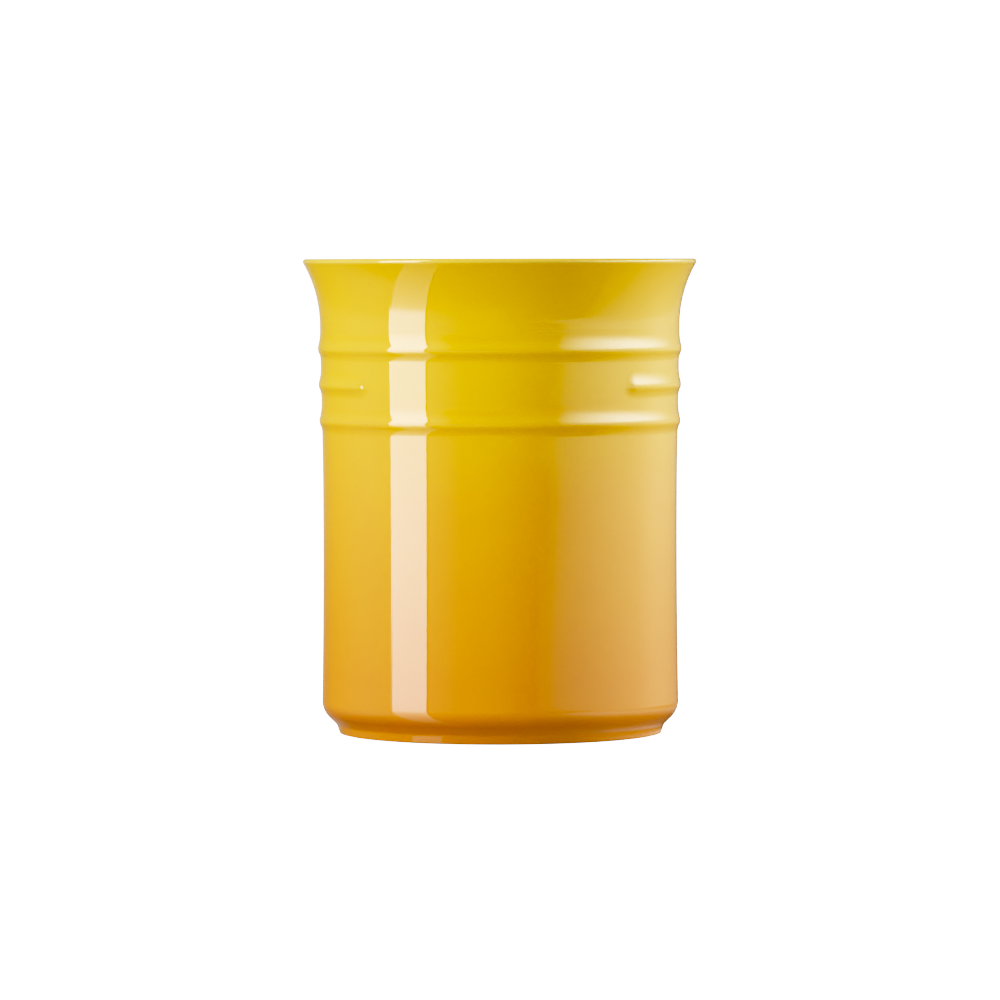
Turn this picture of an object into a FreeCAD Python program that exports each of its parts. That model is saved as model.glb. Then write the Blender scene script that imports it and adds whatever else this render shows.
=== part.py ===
import FreeCAD, Part

import math
import os
from enum import IntEnum

import Sketcher

# Utensil crock in glazed stoneware, in millimetres, standing on z = 0 with its front towards -Y.
# Every size is that of the finished, glazed surface. The clay lies one coat of glaze beneath it.
SIZES = (
    ("height", 150.0, "table to rim crest"),
    ("body_diameter", 112.2, "straight wall under the ribs"),
    ("collar_spread", 0.7, "how much wider the neck is than the wall, on the radius"),
    ("rim_overhang", 5.35, "how far the rim stands out over the neck, on the radius"),
    ("lip_radius", 0.9, "rounding of the rim's outer edge"),
    ("lip_width", 5.2, "rim from its outer edge to its inner edge"),
    ("lip_roll", 2.4, "rounding of the rim's inner edge"),
    ("flare_radius", 40.0, "hollow curve from rim to neck, outside"),
    ("inner_flare_radius", 40.0, "curve under the rim, inside"),
    ("wall_thickness", 5.5, "straight wall"),
    ("floor_thickness", 6.8, "floor over the hollow of the foot ring"),
    ("floor_corner", 8.0, "rounding between floor and wall"),
    ("heel_radius", 7.0, "round shoulder under the wall"),
    ("step_angle", 45.0, "slope between shoulder and cove, in degrees"),
    ("cove_radius", 2.8, "hollow over the foot"),
    ("foot_setback", 5.0, "foot inside the wall, on the radius"),
    ("foot_wall", 0.2, "upright part of the foot"),
    ("toe_radius", 1.6, "rounded edges of the foot ring"),
    ("ring_width", 7.1, "foot ring from its outside to its hollow"),
    ("recess_wall", 0.6, "upright part of the hollow inside the foot ring"),
    ("recess_corner", 1.4, "rounding in the corner of that hollow"),
    ("glaze", 0.4, "thickness of every coat of glaze"),
    ("rib_height", 0.8, "how far a rib stands out from the wall"),
    ("rib_radius", 5.0, "rounding of a rib's crest"),
    ("rib_root", 5.0, "hollow where the glaze runs off a rib"),
    ("rib_depth", 1.4, "how deep a rib is rooted under the glazed wall"),
    ("neck_band", 7.3, "neck down to the crest of the top rib"),
    ("rib_pitch", 11.4, "crest to crest"),
    ("collar_margin", 6.0, "crest of the low rib down to the straight wall"),
    ("rib_gap", 97.0, "bare front of the middle rib, in degrees"),
)
NONE = 0.0
QUARTER_TURN = 90.0
HALF_TURN = 180.0
FULL_TURN = 360.0
CUTTER_RISE = 2.0    # how far the cutting form runs up past the rim crest
NEAR_WALL = 0.05     # an edge this close to the wall is a rib's root
ROOT_SAMPLES = 7     # points at which an edge is compared with the wall



class EdgePoint(IntEnum):
    """Sketcher's own numbers for the points of an edge."""

    START = 1
    END = 2
    CENTRE = 3


class Axis(IntEnum):
    """Sketcher's own numbers for its two axes."""

    LEVEL = -1
    UPRIGHT = -2


class Side(IntEnum):
    """The way a section turns from the front."""

    LEFT = 1
    RIGHT = -1


class RibDepth(IntEnum):
    """How far down a rib's section is drawn from its upper edge."""

    CREST_LINE = 0
    LOWER_EDGE = -1


START, END, CENTRE = EdgePoint
LEVEL_AXIS, UPRIGHT_AXIS = Axis
LEFT, RIGHT = Side
CREST_LINE, LOWER_EDGE = RibDepth
ORIGIN = (LEVEL_AXIS, START)


class Size:
    """A size: its number, and the sheet formula that it comes from."""

    def __init__(self, number, formula):
        self.number = number
        self.formula = formula

    def __add__(self, other):
        return Size(self.number + other.number, f"({self.formula} + {other.formula})")

    def __sub__(self, other):
        return Size(self.number - other.number, f"({self.formula} - {other.formula})")

    def half(self):
        return Size(self.number / 2, f"({self.formula} / 2)")


def fixed(number):
    return Size(number, str(number))


ZERO = fixed(NONE)


def make_sheet(doc):
    """Write the driving sizes into the sheet, and return them by name."""
    sheet = doc.addObject("Spreadsheet::Sheet", "Sizes")
    sizes = {}
    for row, (name, number, meaning) in enumerate(SIZES, start=1):
        sheet.set(f"A{row}", meaning)
        sheet.set(f"B{row}", str(number))
        sheet.setAlias(f"B{row}", name)
        sizes[name] = Size(number, f"Sizes.{name}")
    doc.recompute()
    return sizes


class Section:
    """A sketch in an upright plane through the axis: radius across, height up.

    It lies at the front of the crock unless it is turned about the axis, towards the left or right.
    """

    def __init__(self, body, name, level=ZERO, turn=ZERO, side=LEFT):
        plane = next(item for item in body.Origin.OriginFeatures if item.Role == "YZ_Plane")
        self.body = body
        self.sketch = body.newObject("Sketcher::SketchObject", name)
        self.sketch.AttachmentSupport = (plane, "")
        self.sketch.MapMode = "FlatFace"
        from_back = fixed(HALF_TURN) - turn
        turned = FreeCAD.Rotation(FreeCAD.Vector(0, side, 0), from_back.number)
        self.sketch.AttachmentOffset = FreeCAD.Placement(FreeCAD.Vector(0, level.number, 0), turned)
        self.sketch.setExpression("AttachmentOffset.Base.y", level.formula)
        self.sketch.setExpression("AttachmentOffset.Rotation.Angle", from_back.formula)

    def line(self, start, end):
        return self.sketch.addGeometry(Part.LineSegment(FreeCAD.Vector(*start), FreeCAD.Vector(*end)))

    def arc(self, centre, radius, start, end):
        """An anticlockwise arc between two directions in degrees, its radius bound to a size."""
        circle = Part.Circle(FreeCAD.Vector(*centre), FreeCAD.Vector(0, 0, 1), radius.number)
        edge = self.sketch.addGeometry(Part.ArcOfCircle(circle, math.radians(start), math.radians(end)))
        self.bind("Radius", edge, to=radius)
        return edge

    def rule(self, kind, *places):
        self.sketch.addConstraint(Sketcher.Constraint(kind, *places))

    def bind(self, kind, *places, to):
        number = math.radians(to.number) if kind == "Angle" else to.number
        index = self.sketch.addConstraint(Sketcher.Constraint(kind, *places, number))
        self.sketch.setExpression(f"Constraints[{index}]", to.formula)

    def across(self, edge, end, to):
        self.bind("DistanceX", *ORIGIN, edge, end, to=to)

    def up(self, edge, end, to):
        self.bind("DistanceY", *ORIGIN, edge, end, to=to)

    def point(self, place):
        found = self.sketch.getPoint(*place)
        return (found.x, found.y)

    def link(self, first, second):
        """A line between two places that are already drawn."""
        edge = self.line(self.point(first), self.point(second))
        self.rule("Coincident", edge, START, *first)
        self.rule("Coincident", edge, END, *second)
        return edge

    def level_to_axis(self, place):
        """A level line from a place to the upright axis, and its place there."""
        across, up = self.point(place)
        edge = self.line((across, up), (NONE, up))
        self.rule("Coincident", edge, START, *place)
        self.rule("Horizontal", edge)
        self.rule("PointOnObject", edge, END, UPRIGHT_AXIS)
        return (edge, END)

    def turn(self, name, axis, angle):
        """Revolve the section in its body about one of the sketch's axes."""
        turned = self.body.newObject("PartDesign::Revolution", name)
        turned.Profile = self.sketch
        turned.ReferenceAxis = (self.sketch, [axis])
        turned.Angle = angle.number
        turned.setExpression("Angle", angle.formula)
        return turned


def heading(start, end):
    """Direction from one point to another, in degrees from 0 to 360."""
    return math.degrees(math.atan2(end[1] - start[1], end[0] - start[0])) % FULL_TURN


def leg(hypotenuse, other_leg):
    """The other short side of a right-angled triangle."""
    number = math.sqrt(hypotenuse.number ** 2 - other_leg.number ** 2)
    return Size(number, f"sqrt({hypotenuse.formula}^2 - {other_leg.formula}^2)")


def neck_radius(size):
    return size["body_diameter"].half() + size["collar_spread"]


def rim_radius(size):
    return neck_radius(size) + size["rim_overhang"]


def neck_level(size):
    """Where the flare ends: its arc starts on the lip and stands upright at the neck."""
    lip = size["lip_radius"]
    reach = lip + size["flare_radius"]
    return size["height"] - lip - leg(reach, reach - size["rim_overhang"])


def collar_level(size):
    """Where the straight wall ends and the ribbed collar starts to widen."""
    _, low_rib = rib_levels(size)[-1]
    return low_rib - size["collar_margin"]


def collar_radius(size, level):
    """Radius of the collar at a level, between the straight wall and the neck."""
    foot = collar_level(size)
    above, whole = level - foot, neck_level(size) - foot
    wall, spread = size["body_diameter"].half(), size["collar_spread"]
    number = wall.number + spread.number * above.number / whole.number
    return Size(number, f"({wall.formula} + {spread.formula} * {above.formula} / {whole.formula})")


def rib_levels(size):
    """Names and levels of the three ribs, from the top."""
    top, pitch = neck_level(size) - size["neck_band"], size["rib_pitch"]
    return (("top_rib", top), ("middle_rib", top - pitch), ("low_rib", top - pitch - pitch))


def foot_radius(size):
    return size["body_diameter"].half() - size["foot_setback"]


def toe_level(size):
    """Centre of the foot's round edges. Their clay stands on the table, one coat inside the glaze."""
    return size["toe_radius"] - size["glaze"]


def glaze_line(size):
    """Where the glaze stops, half way down the foot's round edges."""
    return toe_level(size).half()


def recess_depth(size):
    return toe_level(size) + size["recess_wall"] + size["recess_corner"]


def draw_outside(section, size, inset, toe_end):
    """The outside from rim crest to foot: lip, flare, collar, wall, heel, step, cove, foot and toe."""
    wall, foot = size["body_diameter"].half(), foot_radius(size)
    lip, flare = size["lip_radius"], size["flare_radius"]
    heel, cove, toe = size["heel_radius"], size["cove_radius"], size["toe_radius"]
    lip_across = rim_radius(size) - lip
    flare_across = neck_radius(size) + flare
    toe_up = toe_level(size)
    cove_up = toe_up + size["foot_wall"]
    collar_up = collar_level(size)
    slope = size["step_angle"]
    step_side = slope.number + QUARTER_TURN

    lip_at = (lip_across.number, (size["height"] - lip).number)
    flare_at = (flare_across.number, neck_level(size).number)
    cove_at = ((foot + cove).number, cove_up.number)
    heel_across = (wall - heel).number
    rise = math.radians(slope.number)
    heel_lift = ((heel + cove).number - (cove_at[0] - heel_across) * math.sin(rise)) / math.cos(rise)
    heel_at = (heel_across, cove_at[1] + heel_lift)
    toe_at = ((foot - toe).number, toe_up.number)
    toe_stop = toe_direction(size, inset, toe_end)

    lip_arc = section.arc(lip_at, lip - inset, heading(lip_at, flare_at) - FULL_TURN, QUARTER_TURN)
    flare_arc = section.arc(flare_at, flare + inset, heading(flare_at, lip_at), HALF_TURN)
    collar_foot = ((wall - inset).number, collar_up.number)
    collar = section.line(collar_foot, section.point((flare_arc, END)))
    heel_arc = section.arc(heel_at, heel - inset, step_side - HALF_TURN, NONE)
    side = section.line(section.point((heel_arc, END)), collar_foot)
    cove_arc = section.arc(cove_at, cove + inset, step_side, HALF_TURN)
    step = section.line(section.point((cove_arc, START)), section.point((heel_arc, START)))
    upright = section.line(section.point((cove_arc, END)), ((foot - inset).number, toe_up.number))
    toe_arc = section.arc(toe_at, toe - inset, -toe_stop, NONE)

    section.across(lip_arc, CENTRE, lip_across)
    section.up(lip_arc, CENTRE, size["height"] - lip)
    section.rule("Vertical", lip_arc, END, lip_arc, CENTRE)
    section.rule("Tangent", lip_arc, START, flare_arc, START)
    section.across(flare_arc, CENTRE, flare_across)
    section.rule("Tangent", flare_arc, END, collar, END)
    section.rule("Coincident", collar, START, side, END)
    section.rule("Vertical", side)
    section.across(side, END, wall - inset)
    section.up(side, END, collar_up)
    section.rule("Tangent", side, START, heel_arc, END)
    section.rule("Tangent", heel_arc, START, step, END)
    section.bind("Angle", step, to=slope)
    section.rule("Tangent", cove_arc, START, step, START)
    section.up(cove_arc, CENTRE, cove_up)
    section.rule("Tangent", cove_arc, END, upright, START)
    section.rule("Vertical", upright)
    section.across(upright, END, foot - inset)
    section.rule("Tangent", upright, END, toe_arc, END)
    section.up(toe_arc, CENTRE, toe_up)
    end_toe(section, toe_arc, START, toe_end)
    return (lip_arc, END), (toe_arc, START)


def toe_direction(size, inset, toe_end):
    """How far round a toe is drawn, in degrees down from level."""
    if toe_end is None:
        return QUARTER_TURN
    drop = toe_level(size) - toe_end
    return math.degrees(math.asin(drop.number / (size["toe_radius"] - inset).number))


def end_toe(section, toe_arc, end, toe_end):
    """Stop a toe at a given height, or where it touches the table."""
    if toe_end is None:
        section.rule("Vertical", toe_arc, end, toe_arc, CENTRE)
    else:
        section.up(toe_arc, end, toe_end)


def draw_underside(section, size, inset, toe_end):
    """The hollow inside the foot ring, from the ring's inner toe to the axis."""
    recess, depth = foot_radius(size) - size["ring_width"], recess_depth(size)
    corner, toe = size["recess_corner"], size["toe_radius"]
    toe_up = toe_level(size)
    toe_at = ((recess + toe).number, toe_up.number)
    corner_at = ((recess - corner).number, (depth - corner).number)
    toe_stop = toe_direction(size, inset, toe_end)

    toe_arc = section.arc(toe_at, toe - inset, HALF_TURN, HALF_TURN + toe_stop)
    corner_arc = section.arc(corner_at, corner + inset, NONE, QUARTER_TURN)
    upright = section.line(section.point((toe_arc, START)), section.point((corner_arc, START)))
    ceiling = section.line(section.point((corner_arc, END)), (NONE, (depth + inset).number))

    section.up(toe_arc, CENTRE, toe_up)
    end_toe(section, toe_arc, END, toe_end)
    section.rule("Tangent", toe_arc, START, upright, START)
    section.rule("Vertical", upright)
    section.rule("Tangent", upright, END, corner_arc, START)
    section.across(corner_arc, CENTRE, recess - corner)
    section.up(corner_arc, CENTRE, depth - corner)
    section.rule("Tangent", corner_arc, END, ceiling, START)
    section.rule("Horizontal", ceiling)
    section.rule("PointOnObject", ceiling, END, UPRIGHT_AXIS)
    return (toe_arc, END), (ceiling, END)


def draw_inside(section, size, inset, crest=None):
    """The inside from the axis to the rim crest: floor, corner, wall, flare, roll and land."""
    bore = size["body_diameter"].half() - size["wall_thickness"]
    corner, flare, roll = size["floor_corner"], size["inner_flare_radius"], size["lip_roll"]
    floor, height = recess_depth(size) + size["floor_thickness"], size["height"]
    roll_across = rim_radius(size) - size["lip_width"] + roll
    crest_across = rim_radius(size) - size["lip_radius"]
    flare_across = bore + flare
    flare_up = height - roll - leg(flare - roll, flare_across - roll_across)

    corner_at = ((bore - corner).number, (floor + corner).number)
    roll_at = (roll_across.number, (height - roll).number)
    flare_at = (flare_across.number, flare_up.number)
    top = (height - inset).number

    corner_arc = section.arc(corner_at, corner + inset, FULL_TURN - QUARTER_TURN, FULL_TURN)
    flare_arc = section.arc(flare_at, flare - inset, heading(flare_at, roll_at), HALF_TURN)
    roll_arc = section.arc(roll_at, roll - inset, QUARTER_TURN, heading(flare_at, roll_at))
    bottom = section.line((NONE, (floor - inset).number), section.point((corner_arc, START)))
    upright = section.line(section.point((corner_arc, END)), section.point((flare_arc, END)))
    land = section.line(section.point((roll_arc, START)), (crest_across.number, top))

    section.rule("PointOnObject", bottom, START, UPRIGHT_AXIS)
    section.rule("Horizontal", bottom)
    section.rule("Tangent", bottom, END, corner_arc, START)
    section.across(corner_arc, CENTRE, bore - corner)
    section.up(corner_arc, CENTRE, floor + corner)
    section.rule("Tangent", corner_arc, END, upright, START)
    section.rule("Vertical", upright)
    section.rule("Tangent", upright, END, flare_arc, END)
    section.rule("Tangent", flare_arc, START, roll_arc, END)
    section.across(roll_arc, CENTRE, roll_across)
    section.up(roll_arc, CENTRE, height - roll)
    section.rule("Vertical", roll_arc, START, roll_arc, CENTRE)
    section.rule("Coincident", land, START, roll_arc, START)
    if crest is None:
        section.rule("Horizontal", land)
        section.across(land, END, crest_across)
    else:
        section.rule("Coincident", land, END, *crest)
    return (bottom, START), (land, END)


def draw_rib_crest(section, size, level, inset, lowest):
    """A rib's round crest from its upper edge down, and its upright root inside the wall."""
    wall = collar_radius(size, level)
    radius = size["rib_radius"] - inset
    centre = wall + size["rib_height"] - size["rib_radius"]
    root = wall - size["rib_depth"]
    spread = math.degrees(math.acos((root - centre).number / radius.number))
    crest = section.arc((centre.number, NONE), radius, spread * lowest, spread)
    across, up = section.point((crest, END))
    chord = section.line((across, up), (across, up * lowest))
    section.rule("PointOnObject", crest, CENTRE, LEVEL_AXIS)
    section.across(crest, CENTRE, centre)
    section.rule("Coincident", chord, START, crest, END)
    section.rule("Vertical", chord)
    section.across(chord, START, root)
    return crest, chord


def draw_rib(section, size, level, inset):
    """The whole section of a rib."""
    crest, chord = draw_rib_crest(section, size, level, inset, LOWER_EDGE)
    section.rule("Coincident", chord, END, crest, START)


def draw_rib_end(section, size, level, inset):
    """The upper half of a rib's section, to be turned about its own level line."""
    crest, chord = draw_rib_crest(section, size, level, inset, CREST_LINE)
    section.rule("PointOnObject", crest, START, LEVEL_AXIS)
    section.rule("PointOnObject", chord, END, LEVEL_AXIS)
    section.link((chord, END), (crest, START))


def add_ribs(body, size, inset):
    """Three ribs around the wall. The middle one leaves the front bare and has rounded ends."""
    for name, level in rib_levels(size):
        feature = f"{body.Name}_{name}"
        if name == "middle_rib":
            add_middle_rib(body, feature, size, level, inset)
        else:
            section = Section(body, f"{feature}_section", level)
            draw_rib(section, size, level, inset)
            section.turn(feature, "V_Axis", fixed(FULL_TURN))


def add_middle_rib(body, feature, size, level, inset):
    """A rib round the back, closed at each end by half of its own section turned over."""
    section = Section(body, f"{feature}_section", level, fixed(HALF_TURN))
    draw_rib(section, size, level, inset)
    ring = section.turn(feature, "V_Axis", fixed(FULL_TURN) - size["rib_gap"])
    ring.Midplane = True
    for end_name, side in (("left_end", LEFT), ("right_end", RIGHT)):
        section = Section(body, f"{feature}_{end_name}_section", level, size["rib_gap"].half(), side)
        draw_rib_end(section, size, level, inset)
        cap = section.turn(f"{feature}_{end_name}", "H_Axis", fixed(HALF_TURN))
        cap.Reversed = side == LEFT


def soften_ribs(body, size):
    """Fill the sharp root of every rib with the hollow that running glaze leaves."""
    ribbed = body.Tip
    roots = []
    for number, edge in enumerate(ribbed.Shape.Edges, start=1):
        if is_rib_root(edge, size):
            roots.append(f"Edge{number}")
    fillet = body.newObject("PartDesign::Fillet", f"{body.Name}_rib_roots")
    fillet.Base = (ribbed, roots)
    fillet.Radius = size["rib_root"].number
    fillet.setExpression("Radius", size["rib_root"].formula)


def is_rib_root(edge, size):
    """True for an edge that lies on the wall all along, within one rib's breadth."""
    if edge.Degenerated:
        return False
    points = edge.discretize(ROOT_SAMPLES)
    reach = math.sqrt(2 * size["rib_radius"].number * size["rib_height"].number)
    for _, level in rib_levels(size):
        if all(abs(point.z - level.number) < reach for point in points):
            return all(gap_to_wall(point, size) < NEAR_WALL for point in points)
    return False


def gap_to_wall(point, size):
    wall = collar_radius(size, fixed(point.z))
    return abs(math.hypot(point.x, point.y) - wall.number)


def make_stoneware_body(doc, size):
    """The fired clay: wall, floor, flared rim, ribs and bare foot ring in one piece."""
    body = doc.addObject("PartDesign::Body", "stoneware_body")
    section = Section(body, "stoneware_section")
    crest, toe = draw_outside(section, size, size["glaze"], None)
    inner_toe, ceiling = draw_underside(section, size, size["glaze"], None)
    floor, _ = draw_inside(section, size, size["glaze"], crest)
    section.link(toe, inner_toe)
    section.link(ceiling, floor)
    section.turn("stoneware_turned", "V_Axis", fixed(FULL_TURN))
    add_ribs(body, size, size["glaze"])
    return body


def make_inside_glaze(doc, size):
    """The liner: one coat over the floor, up the wall and over the rim to its crest."""
    body = doc.addObject("PartDesign::Body", "inside_glaze")
    section = Section(body, "inside_glaze_section")
    floor, land = draw_inside(section, size, ZERO)
    clay_floor, clay_land = draw_inside(section, size, size["glaze"])
    section.link(floor, clay_floor)
    section.link(land, clay_land)
    section.turn("inside_glaze_turned", "V_Axis", fixed(FULL_TURN))
    return body


def make_underside_glaze(doc, size):
    """One coat in the hollow of the foot ring. The ring itself is bare where it stands."""
    body = doc.addObject("PartDesign::Body", "underside_glaze")
    section = Section(body, "underside_glaze_section")
    toe, ceiling = draw_underside(section, size, ZERO, glaze_line(size))
    clay_toe, clay_ceiling = draw_underside(section, size, size["glaze"], glaze_line(size))
    section.link(toe, clay_toe)
    section.link(ceiling, clay_ceiling)
    section.turn("underside_glaze_turned", "V_Axis", fixed(FULL_TURN))
    return body


def make_glazed_form(doc, size):
    """The outside as a solid form at the finished surface, from glaze line to rim crest."""
    body = doc.addObject("PartDesign::Body", "glazed_form")
    section = Section(body, "glazed_form_section")
    crest, toe = draw_outside(section, size, ZERO, glaze_line(size))
    section.link(section.level_to_axis(toe), section.level_to_axis(crest))
    section.turn("glazed_form_turned", "V_Axis", fixed(FULL_TURN))
    add_ribs(body, size, ZERO)
    doc.recompute()
    soften_ribs(body, size)
    return body


def make_clay_form(doc, size):
    """The outside as a solid form at the clay surface, run up past the rim crest to cut with."""
    body = doc.addObject("PartDesign::Body", "clay_form")
    section = Section(body, "clay_form_section")
    crest, toe = draw_outside(section, size, size["glaze"], None)
    across, up = section.point(crest)
    top = size["height"] + fixed(CUTTER_RISE)
    riser = section.line((across, up), (across, top.number))
    section.rule("Coincident", riser, START, *crest)
    section.rule("Vertical", riser)
    section.up(riser, END, top)
    section.link(section.level_to_axis(toe), section.level_to_axis((riser, END)))
    section.turn("clay_form_turned", "V_Axis", fixed(FULL_TURN))
    add_ribs(body, size, size["glaze"])
    return body


def make_outside_glaze(doc, size):
    """The graded colour coat, from the rim crest down to the glaze line at the foot."""
    coat = doc.addObject("Part::Cut", "outside_glaze")
    coat.Base = make_glazed_form(doc, size)
    coat.Tool = make_clay_form(doc, size)
    return coat


def check(doc):
    for item in doc.Objects:
        if "Invalid" in item.State or "Error" in item.State:
            raise RuntimeError(f"{item.Name} is in error: {item.State}")
        if hasattr(item, "Shape") and item.TypeId != "Sketcher::SketchObject":
            if item.Shape.isNull() or not item.Shape.isValid():
                raise RuntimeError(f"{item.Name} has no valid shape")


def main():
    doc = FreeCAD.newDocument("UtensilCrock")
    size = make_sheet(doc)
    makers = (make_stoneware_body, make_outside_glaze, make_inside_glaze, make_underside_glaze)
    pieces = [make(doc, size) for make in makers]
    doc.recompute()
    check(doc)
    os.makedirs("parts", exist_ok=True)
    for piece in pieces:
        piece.Label = piece.Name
        piece.Shape.exportStep(f"parts/{piece.Label}.step")


main()
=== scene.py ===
import math

import bpy
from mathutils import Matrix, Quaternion, Vector


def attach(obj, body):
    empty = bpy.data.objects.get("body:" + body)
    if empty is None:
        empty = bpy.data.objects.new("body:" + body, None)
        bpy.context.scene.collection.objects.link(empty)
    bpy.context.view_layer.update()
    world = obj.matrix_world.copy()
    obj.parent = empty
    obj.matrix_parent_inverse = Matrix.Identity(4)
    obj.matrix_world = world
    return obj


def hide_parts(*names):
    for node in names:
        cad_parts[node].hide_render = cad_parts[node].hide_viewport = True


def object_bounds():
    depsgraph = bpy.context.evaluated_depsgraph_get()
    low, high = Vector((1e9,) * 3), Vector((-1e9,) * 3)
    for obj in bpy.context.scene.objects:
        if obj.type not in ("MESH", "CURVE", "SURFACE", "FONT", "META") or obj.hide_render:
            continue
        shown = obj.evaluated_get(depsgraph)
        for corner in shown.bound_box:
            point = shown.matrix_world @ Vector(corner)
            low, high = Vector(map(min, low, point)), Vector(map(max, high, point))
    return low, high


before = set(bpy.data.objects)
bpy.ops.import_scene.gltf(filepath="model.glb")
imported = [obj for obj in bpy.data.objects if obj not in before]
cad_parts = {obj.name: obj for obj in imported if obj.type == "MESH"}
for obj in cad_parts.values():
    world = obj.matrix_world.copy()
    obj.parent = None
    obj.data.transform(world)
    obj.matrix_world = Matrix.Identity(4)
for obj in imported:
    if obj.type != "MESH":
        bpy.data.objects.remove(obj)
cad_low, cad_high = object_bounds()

# Utensil crock in glazed stoneware. Sizes are in millimetres and are those of the finished, glazed surface.
# The overall height and the rim come from the frame.
MM = 0.001
HEIGHT = cad_high.z / MM
RIM = cad_high.x / MM
LIP = 0.9                # rounding of the rim's outer edge
LIP_WIDTH = 5.2          # rim from its outer to its inner edge
LIP_ROLL = 2.4           # rounding of the rim's inner edge
RIM_OVERHANG = 5.35      # rim beyond the neck, on the radius
FLARE = 40.0             # hollow curve from rim to neck
INNER_FLARE = 40.0
COLLAR_SPREAD = 0.7      # neck beyond the straight wall, on the radius
NECK_BAND = 7.3          # neck down to the crest of the top rib
RIB_PITCH = 11.4
COLLAR_MARGIN = 6.0      # low rib down to the foot of the collar
WAIST = 55.88            # least radius of the wall, which is very slightly hollow
WAIST_LEVEL = 63.2
WAIST_CURVE = 3045.0     # radius of that hollow
COLLAR_BLEND = 0.06      # softness of the turn from wall to collar
HEEL = 7.0               # round shoulder under the wall
HEEL_LEVEL = 10.38
COVE = 2.8               # hollow over the foot
FOOT = 51.4              # radius of the foot ring
FOOT_WALL = 0.2
FOOT_TAPER = 18.0        # the foot's face leans in towards the table, in degrees
TOE = 1.6                # rounded edges of the foot ring
RING_WIDTH = 7.4
RECESS_WALL = 0.6
RECESS_CORNER = 1.4
BORE = 50.6              # radius of the inside
FLOOR_THICKNESS = 6.8
FLOOR_CORNER = 8.0
GLAZE = 0.4              # thickness of each coat
SEAT = 0.02              # clay held back from the glaze that lies on it
RIB_HEIGHT = 0.8
RIB_ABOVE = (5.0, 18.0)  # rounding of a rib's crest and hollow at its root, on its long upper flank
RIB_BELOW = (2.6, 6.0)   # and on its short lower flank
RIB_END = 5.2            # length over which an end of the middle rib falls away
RIB_GAP = 98.8           # bare front of the middle rib, in degrees
GAP_TURN = -1.5          # where that gap is centred, in degrees from the front

NECK = RIM - RIM_OVERHANG
WALL = NECK - COLLAR_SPREAD
NECK_LEVEL = HEIGHT - LIP - math.sqrt((LIP + FLARE) ** 2 - (LIP + FLARE - RIM_OVERHANG) ** 2)
TOP_RIB = NECK_LEVEL - NECK_BAND
RIB_LEVELS = (TOP_RIB, TOP_RIB - RIB_PITCH, TOP_RIB - 2 * RIB_PITCH)
MIDDLE_RIB = RIB_LEVELS[1]
COLLAR_LEVEL = RIB_LEVELS[-1] - COLLAR_MARGIN
TOE_LEVEL = TOE - GLAZE
GLAZE_LINE = TOE_LEVEL / 4  # level at which the glaze ends on a toe
RECESS = FOOT - RING_WIDTH
RECESS_DEPTH = TOE_LEVEL + RECESS_WALL + RECESS_CORNER
FLOOR = RECESS_DEPTH + FLOOR_THICKNESS
MID_WALL = (WALL + BORE) / 2

SEGMENTS = 384           # round the glaze
CLAY_SEGMENTS = 192
FINE = 0.3               # spacing of outline points on ribs and small curves
COARSE = 2.0             # spacing on the wall and the floor
ARC_STEPS = 4            # fewest steps along an arc
ON_AXIS = 0.02           # a point closer to the axis than this lies on it
SHARP = 50.0             # an edge that turns by more degrees than this stays crisp

POOL_SHADE_TOP = 9.8           # level below which the glaze begins to lie deeper, darkened also as painted shade over the foot
POOL_SHADE_FLOOR = 5.5         # and below which it thins again
POOL_SHADE_FADE = 3.6
RIB_POOL_SHADE = 0.05          # how deeply it lies under a rib, darkened also as painted shade, centred a little below the crest
RIB_POOL_SHADE_DROP = 1.7
RIB_POOL_SHADE_SPREAD = 2.6
RIB_THIN_HIGHLIGHT = 0.25          # how thinly it lies on a rib's upper flank, paler also as a painted highlight
RIB_HIGHLIGHT_RISE = 1.5
RIB_HIGHLIGHT_SPREAD = 2.6


def clamped(value):
    return min(1.0, max(0.0, value))


def ease(value):
    """Smooth step from 0 to 1."""
    value = clamped(value)
    return value * value * (3 - 2 * value)


def fade(value, start, end):
    """Smooth step from 0 at the start value to 1 at the end value."""
    return ease((value - start) / (end - start))


def heading(start, end):
    """Direction from one point to another, in degrees."""
    return math.degrees(math.atan2(end[1] - start[1], end[0] - start[0]))


def polar(centre, radius, degrees):
    turn = math.radians(degrees)
    return (centre[0] + radius * math.cos(turn), centre[1] + radius * math.sin(turn))


def arc(centre, radius, start, end, spacing=FINE):
    """Points along an arc between two directions in degrees."""
    count = max(ARC_STEPS, math.ceil(radius * math.radians(abs(end - start)) / spacing))
    return [polar(centre, radius, start + (end - start) * i / count) for i in range(count + 1)]


def line(start, end, spacing=COARSE):
    count = max(1, math.ceil(math.dist(start, end) / spacing))
    return [tuple(a + (b - a) * i / count for a, b in zip(start, end)) for i in range(count + 1)]


def wall_radius(level):
    """The slightly hollow wall, and above it the widening collar, with a soft turn between them."""
    hollow = WAIST + (level - WAIST_LEVEL) ** 2 / (2 * WAIST_CURVE)
    collar = WALL + COLLAR_SPREAD * (level - COLLAR_LEVEL) / (NECK_LEVEL - COLLAR_LEVEL)
    return (hollow + collar + math.hypot(hollow - collar, COLLAR_BLEND)) / 2


def wall_points(top, bottom):
    """Points down the wall: close together on the ribbed collar, wide apart below it."""
    levels = []
    level = top
    while level > bottom + COARSE / 2:
        levels.append(level)
        level -= FINE if level > COLLAR_LEVEL else COARSE
    return [(wall_radius(level), level) for level in levels]


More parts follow.
